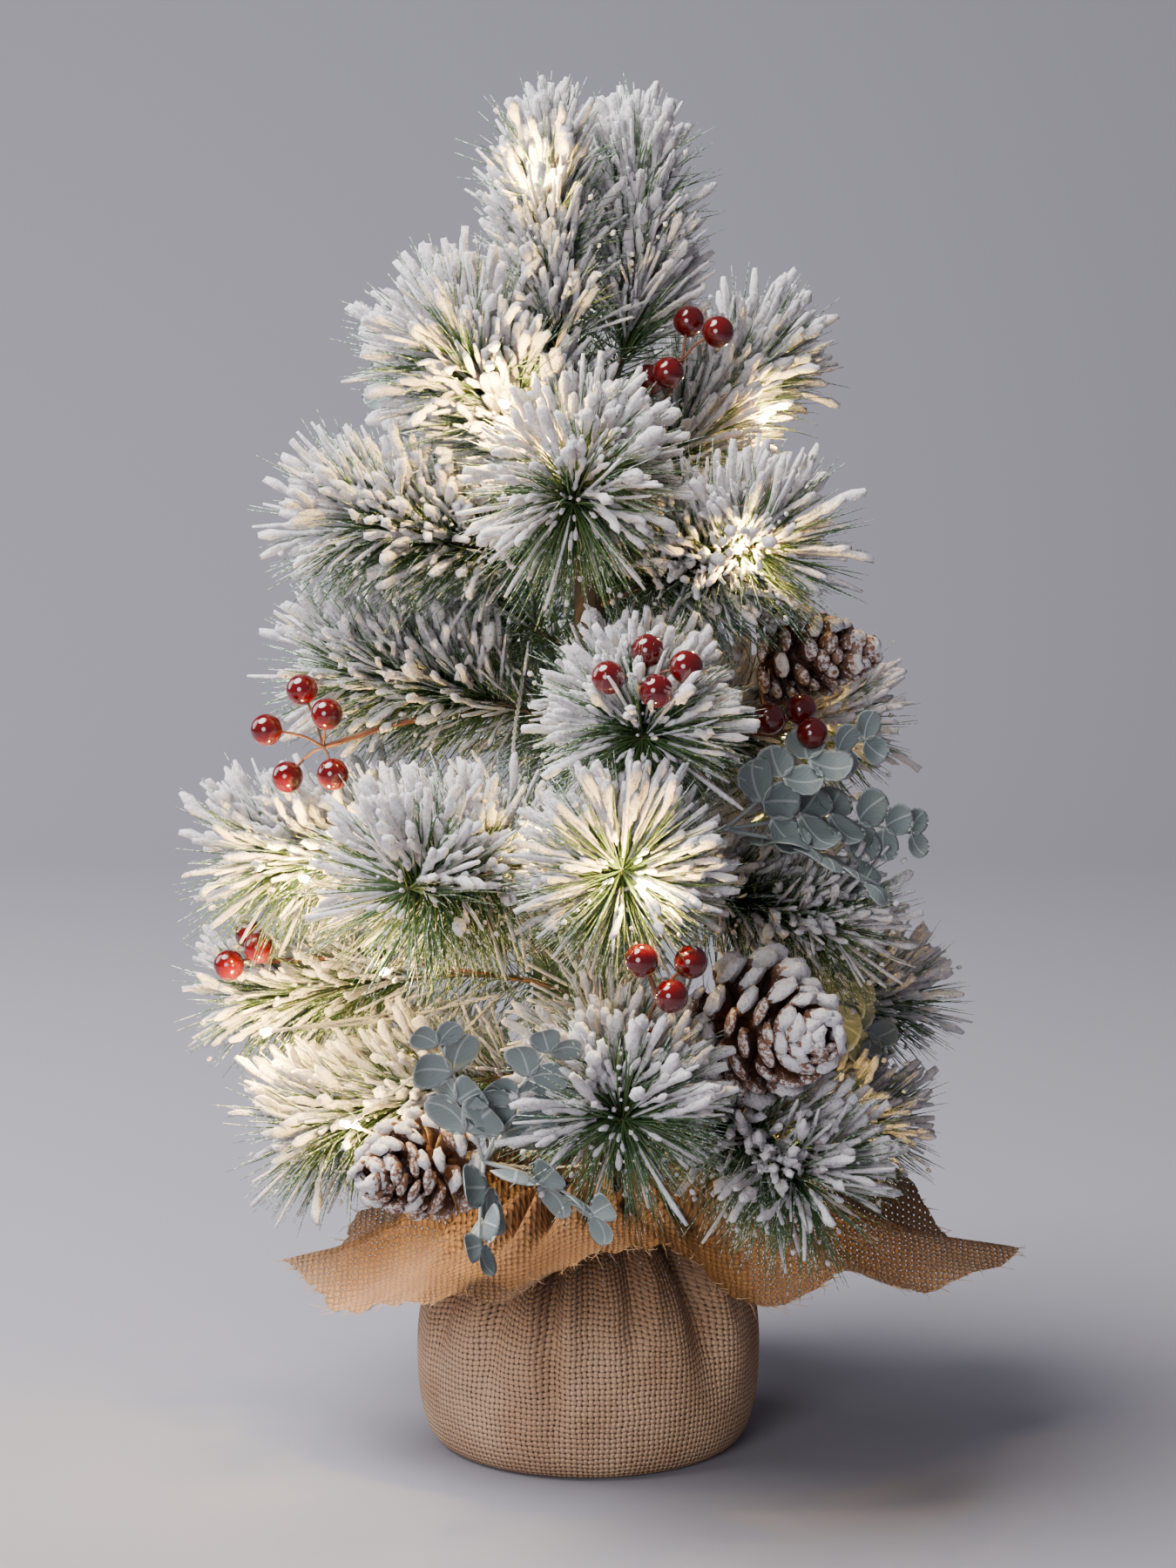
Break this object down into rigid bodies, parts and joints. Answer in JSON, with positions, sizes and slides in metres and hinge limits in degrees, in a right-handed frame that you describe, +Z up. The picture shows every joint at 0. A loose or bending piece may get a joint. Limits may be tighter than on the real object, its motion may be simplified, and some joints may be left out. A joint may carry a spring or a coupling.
{
  "type": "artificial tabletop tree",
  "caption": "Tabletop snow-flocked artificial fir tree with bendable branches, berry, cone and eucalyptus picks, a battery light string and a hessian-wrapped weighted base.",
  "frame": {"origin": "centre of the flat underside of the hessian-wrapped base", "axes": "+Z up along the trunk, -Y towards the front of the tree, +X to its right seen from the front"},
  "size_m": [0.358, 0.3396, 0.5962],
  "materials": {
    "hessian": "matte",
    "twine": "matte",
    "pot_plastic": "matte",
    "cement": "matte",
    "bark_tape": "matte",
    "foliage": "matte",
    "berry": "gloss",
    "cone": "matte",
    "eucalyptus": "matte",
    "battery_case": "satin",
    "cell": "satin",
    "contact": "polished",
    "strap": "satin",
    "wire": "gloss"
  },
  "bodies": {
    "base": {"battery_box": "battery_case", "cell_1": "cell", "cell_2": "cell", "cell_3": "cell", "cement_weight": "cement", "contact_bottom": "contact", "contact_top": "contact", "eucalyptus_low_left": "eucalyptus", "hessian_wrap": "hessian", "light_string": "wire", "neck_tie": "twine", "pine_cone_low_left": "cone", "pot": "pot_plastic", "tie_strap": "strap", "trunk": "bark_tape"},
    "cover_body": {"battery_cover": "battery_case"},
    "branch_middle_back_body": {"berry_pick_back": "berry", "branch_middle_back": "foliage"},
    "branch_middle_front_body": {"berry_pick_centre": "berry", "branch_middle_front": "foliage"},
    "branch_middle_left_body": {"berry_pick_left": "berry", "branch_middle_left": "foliage"},
    "branch_low_front_body": {"berry_pick_low_front": "berry", "branch_low_front": "foliage"},
    "branch_lower_left_body": {"berry_pick_low_left": "berry", "branch_lower_left": "foliage"},
    "branch_middle_right_body": {"berry_pick_right": "berry", "branch_middle_right": "foliage", "pine_cone_right": "cone"},
    "branch_crown_right_body": {"berry_pick_top_right": "berry", "branch_crown_right": "foliage"},
    "branch_bottom_back_left_body": {"branch_bottom_back_left": "foliage"},
    "branch_bottom_back_right_body": {"branch_bottom_back_right": "foliage"},
    "branch_bottom_front_body": {"branch_bottom_front": "foliage"},
    "branch_bottom_front_right_body": {"branch_bottom_front_right": "foliage", "pine_cone_low_right": "cone"},
    "branch_bottom_left_body": {"branch_bottom_left": "foliage"},
    "branch_bottom_right_body": {"branch_bottom_right": "foliage"},
    "branch_crown_back_body": {"branch_crown_back": "foliage"},
    "branch_crown_front_body": {"branch_crown_front": "foliage"},
    "branch_crown_left_body": {"branch_crown_left": "foliage", "eucalyptus_top_left": "eucalyptus"},
    "branch_low_back_left_body": {"branch_low_back_left": "foliage"},
    "branch_low_back_right_body": {"branch_low_back_right": "foliage"},
    "branch_low_front_left_body": {"branch_low_front_left": "foliage"},
    "branch_low_left_body": {"branch_low_left": "foliage"},
    "branch_low_right_body": {"branch_low_right": "foliage", "eucalyptus_right": "eucalyptus"},
    "branch_lower_back_body": {"branch_lower_back": "foliage", "pine_cone_back": "cone"},
    "branch_lower_right_body": {"branch_lower_right": "foliage", "eucalyptus_low_right": "eucalyptus"},
    "branch_upper_back_left_body": {"branch_upper_back_left": "foliage"},
    "branch_upper_back_right_body": {"branch_upper_back_right": "foliage"},
    "branch_upper_left_body": {"branch_upper_left": "foliage"},
    "branch_upper_right_body": {"branch_upper_right": "foliage"},
    "leader_left_body": {"leader_left": "foliage"},
    "leader_right_body": {"leader_right": "foliage"},
    "switch_body": {"switch_slider": "battery_case"}
  },
  "joints": [
    {"name": "leader_left_bend", "type": "hinge", "parent": "base", "child": "leader_left_body", "pos_m": [-0.00535, -0.00594, 0.464], "axis": [-0.7431, 0.6691, 0], "range_deg": [-25, 6], "deforming": ["light_string"]},
    {"name": "leader_right_bend", "type": "hinge", "parent": "base", "child": "leader_right_body", "pos_m": [0.00706, 0.00376, 0.46], "axis": [0.4695, -0.8829, 0], "range_deg": [-25, 6], "deforming": ["light_string"]},
    {"name": "branch_crown_left_bend", "type": "hinge", "parent": "base", "child": "branch_crown_left_body", "pos_m": [-0.00686, -0.00412, 0.418], "axis": [-0.515, 0.8572, 0], "range_deg": [-25, 12], "deforming": ["light_string"]},
    {"name": "branch_crown_front_bend", "type": "hinge", "parent": "base", "child": "branch_crown_front_body", "pos_m": [-0.00056, -0.00798, 0.424], "axis": [-0.9976, 0.0698, 0], "range_deg": [-25, 25], "deforming": ["light_string"]},
    {"name": "branch_crown_right_bend", "type": "hinge", "parent": "base", "child": "branch_crown_right_body", "pos_m": [0.00639, 0.00481, 0.41], "axis": [0.6018, -0.7986, 0], "range_deg": [-25, 20], "deforming": ["light_string"]},
    {"name": "branch_crown_back_bend", "type": "hinge", "parent": "base", "child": "branch_crown_back_body", "pos_m": [-0.00274, 0.00752, 0.404], "axis": [0.9397, 0.342, 0], "range_deg": [-25, 25], "deforming": ["light_string"]},
    {"name": "branch_upper_right_bend", "type": "hinge", "parent": "base", "child": "branch_upper_right_body", "pos_m": [0.00622, -0.00504, 0.372], "axis": [-0.6293, -0.7771, 0], "range_deg": [-25, 25], "deforming": ["light_string"]},
    {"name": "branch_upper_left_bend", "type": "hinge", "parent": "base", "child": "branch_upper_left_body", "pos_m": [-0.00761, -0.00247, 0.384], "axis": [-0.309, 0.9511, 0], "range_deg": [-25, 25], "deforming": ["light_string"]},
    {"name": "branch_upper_back_right_bend", "type": "hinge", "parent": "base", "child": "branch_upper_back_right_body", "pos_m": [0.00247, 0.00761, 0.362], "axis": [0.9511, -0.309, 0], "range_deg": [-25, 25], "deforming": ["light_string"]},
    {"name": "branch_upper_back_left_bend", "type": "hinge", "parent": "base", "child": "branch_upper_back_left_body", "pos_m": [-0.00594, 0.00535, 0.35], "axis": [0.6691, 0.7431, 0], "range_deg": [-25, 25], "deforming": ["light_string"]},
    {"name": "branch_middle_front_bend", "type": "hinge", "parent": "base", "child": "branch_middle_front_body", "pos_m": [0.00166, -0.00783, 0.322], "axis": [-0.9781, -0.2079, 0], "range_deg": [-16, 20], "deforming": ["light_string"]},
    {"name": "branch_middle_left_bend", "type": "hinge", "parent": "base", "child": "branch_middle_left_body", "pos_m": [-0.00798, -0.00056, 0.318], "axis": [-0.0698, 0.9976, 0], "range_deg": [-25, 25], "deforming": ["light_string"]},
    {"name": "branch_middle_right_bend", "type": "hinge", "parent": "base", "child": "branch_middle_right_body", "pos_m": [0.00788, 0.00139, 0.3], "axis": [0.1736, -0.9848, 0], "range_deg": [-8, 16], "deforming": ["light_string"]},
    {"name": "branch_middle_back_bend", "type": "hinge", "parent": "base", "child": "branch_middle_back_body", "pos_m": [-0.00111, 0.00792, 0.3], "axis": [0.9903, 0.1392, 0], "range_deg": [-25, 25], "deforming": ["light_string"]},
    {"name": "branch_low_left_bend", "type": "hinge", "parent": "base", "child": "branch_low_left_body", "pos_m": [-0.00792, -0.00111, 0.262], "axis": [-0.1392, 0.9903, 0], "range_deg": [-8, 25], "deforming": ["light_string"]},
    {"name": "branch_low_front_left_bend", "type": "hinge", "parent": "base", "child": "branch_low_front_left_body", "pos_m": [-0.00363, -0.00713, 0.268], "axis": [-0.891, 0.454, 0], "range_deg": [-10, 25], "deforming": ["light_string"]},
    {"name": "branch_low_front_bend", "type": "hinge", "parent": "base", "child": "branch_low_front_body", "pos_m": [0.00097, -0.00794, 0.264], "axis": [-0.9925, -0.1219, 0], "range_deg": [-4, 16], "deforming": ["light_string"]},
    {"name": "branch_low_right_bend", "type": "hinge", "parent": "base", "child": "branch_low_right_body", "pos_m": [0.00706, -0.00376, 0.25], "axis": [-0.4695, -0.8829, 0], "range_deg": [-25, 4], "deforming": ["light_string"]},
    {"name": "branch_low_back_right_bend", "type": "hinge", "parent": "base", "child": "branch_low_back_right_body", "pos_m": [0.00514, 0.00613, 0.258], "axis": [0.766, -0.6428, 0], "range_deg": [-18, 25], "deforming": ["light_string"]},
    {"name": "branch_low_back_left_bend", "type": "hinge", "parent": "base", "child": "branch_low_back_left_body", "pos_m": [-0.0063, 0.00492, 0.256], "axis": [0.6157, 0.788, 0], "range_deg": [-18, 25], "deforming": ["light_string"]},
    {"name": "branch_lower_left_bend", "type": "hinge", "parent": "base", "child": "branch_lower_left_body", "pos_m": [-0.00792, 0.00111, 0.2], "axis": [0.1392, 0.9903, 0], "range_deg": [-22, 6], "deforming": ["light_string"]},
    {"name": "branch_lower_right_bend", "type": "hinge", "parent": "base", "child": "branch_lower_right_body", "pos_m": [0.00761, 0.00247, 0.158], "axis": [0.309, -0.9511, 0], "range_deg": [-10, 16], "deforming": ["light_string"]},
    {"name": "branch_lower_back_bend", "type": "hinge", "parent": "base", "child": "branch_lower_back_body", "pos_m": [-0.00028, 0.008, 0.264], "axis": [0.9994, 0.0349, 0], "range_deg": [-22, 25], "deforming": ["light_string"]},
    {"name": "branch_bottom_front_bend", "type": "hinge", "parent": "base", "child": "branch_bottom_front_body", "pos_m": [0.0007, -0.00797, 0.2], "axis": [-0.9962, -0.0872, 0], "range_deg": [-4, 4], "deforming": ["light_string"]},
    {"name": "branch_bottom_left_bend", "type": "hinge", "parent": "base", "child": "branch_bottom_left_body", "pos_m": [-0.00788, -0.00139, 0.16], "axis": [-0.1736, 0.9848, 0], "range_deg": [-16, 20], "deforming": ["light_string"]},
    {"name": "branch_bottom_right_bend", "type": "hinge", "parent": "base", "child": "branch_bottom_right_body", "pos_m": [0.00799, -0.00042, 0.15], "axis": [-0.0523, -0.9986, 0], "range_deg": [-12, 8], "deforming": ["light_string"]},
    {"name": "branch_bottom_front_right_bend", "type": "hinge", "parent": "base", "child": "branch_bottom_front_right_body", "pos_m": [0.00504, -0.00622, 0.158], "axis": [-0.7771, -0.6293, 0], "range_deg": [-18, 20], "deforming": ["light_string"]},
    {"name": "branch_bottom_back_right_bend", "type": "hinge", "parent": "base", "child": "branch_bottom_back_right_body", "pos_m": [0.00594, 0.00535, 0.134], "axis": [0.6691, -0.7431, 0], "range_deg": [-10, 25], "deforming": ["light_string"]},
    {"name": "branch_bottom_back_left_bend", "type": "hinge", "parent": "base", "child": "branch_bottom_back_left_body", "pos_m": [-0.00594, 0.00535, 0.136], "axis": [0.6691, 0.7431, 0], "range_deg": [-18, 25], "deforming": ["light_string"]},
    {"name": "battery_cover_slide", "type": "slide", "parent": "base", "child": "cover_body", "axis": [0, 0, -1], "range_m": [0, 0.058]},
    {"name": "switch_slide", "type": "slide", "parent": "base", "child": "switch_body", "axis": [1, 0, 0], "range_m": [-0.0035, 0.0035]}
  ]
}
